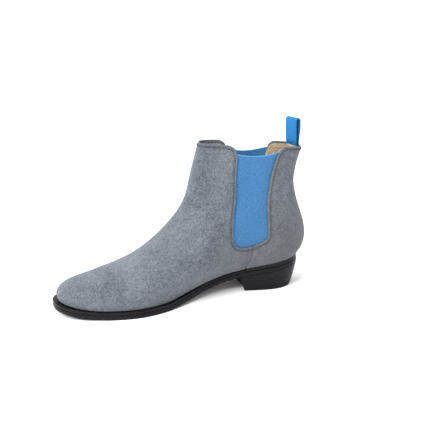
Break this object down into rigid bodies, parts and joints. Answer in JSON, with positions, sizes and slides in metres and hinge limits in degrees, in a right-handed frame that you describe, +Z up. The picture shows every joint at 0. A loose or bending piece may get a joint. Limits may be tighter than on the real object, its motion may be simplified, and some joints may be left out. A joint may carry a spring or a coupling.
{
  "type": "chelsea boot",
  "caption": "Ankle-high slip-on boot with elastic side gores, a webbing pull tab, a welted sole and a low stacked heel.",
  "frame": {"origin": "on the floor under the heel: a point of the top piece's underside, on the line from the middle of the heel's back to the tip of the toe", "axes": "+Z up, -Y towards the toe, +X towards the inner (medial) side of the right foot"},
  "size_m": [0.1069, 0.2964, 0.196],
  "materials": {
    "suede": "grey suede with a short nap",
    "elastic": "blue ribbed elastic",
    "webbing": "blue woven webbing",
    "lining": "beige lining leather",
    "stiffener": "impregnated stiffener board",
    "insole_leather": "undyed insole leather",
    "spring_steel": "spring steel strip",
    "cork": "granulated cork filler",
    "black_leather": "black edge-dressed sole leather",
    "black_rubber": "black rubber top piece",
    "nail_steel": "plain steel nails"
  },
  "bodies": {
    "boot": {"front_upper": "suede", "rear_upper": "suede", "gore_medial": "elastic", "gore_lateral": "elastic", "pull_tab_base": "webbing", "lining_front": "lining", "lining_rear_medial": "lining", "lining_rear_lateral": "lining", "toe_puff": "stiffener", "heel_counter": "stiffener", "insole": "insole_leather", "sock_liner": "lining", "shank": "spring_steel", "cork_filler": "cork", "welt": "black_leather", "heel_rand": "black_leather", "outsole": "black_leather", "heel_wedge": "black_leather", "heel_lift_1": "black_leather", "heel_lift_2": "black_leather", "heel_lift_3": "black_leather", "heel_top_piece": "black_rubber", "heel_nail_1": "nail_steel", "heel_nail_2": "nail_steel", "heel_nail_3": "nail_steel", "heel_nail_4": "nail_steel"},
    "pull_tab": {"pull_tab_loop": "webbing"}
  },
  "joints": [
    {"name": "pull_tab_flex", "type": "hinge", "parent": "boot", "child": "pull_tab", "pos_m": [-0.002, 0.0315, 0.168], "axis": [0.9703, 0.2419, 0], "range_deg": [-40, 55], "stiffness_Nm_per_rad": 0.005}
  ]
}
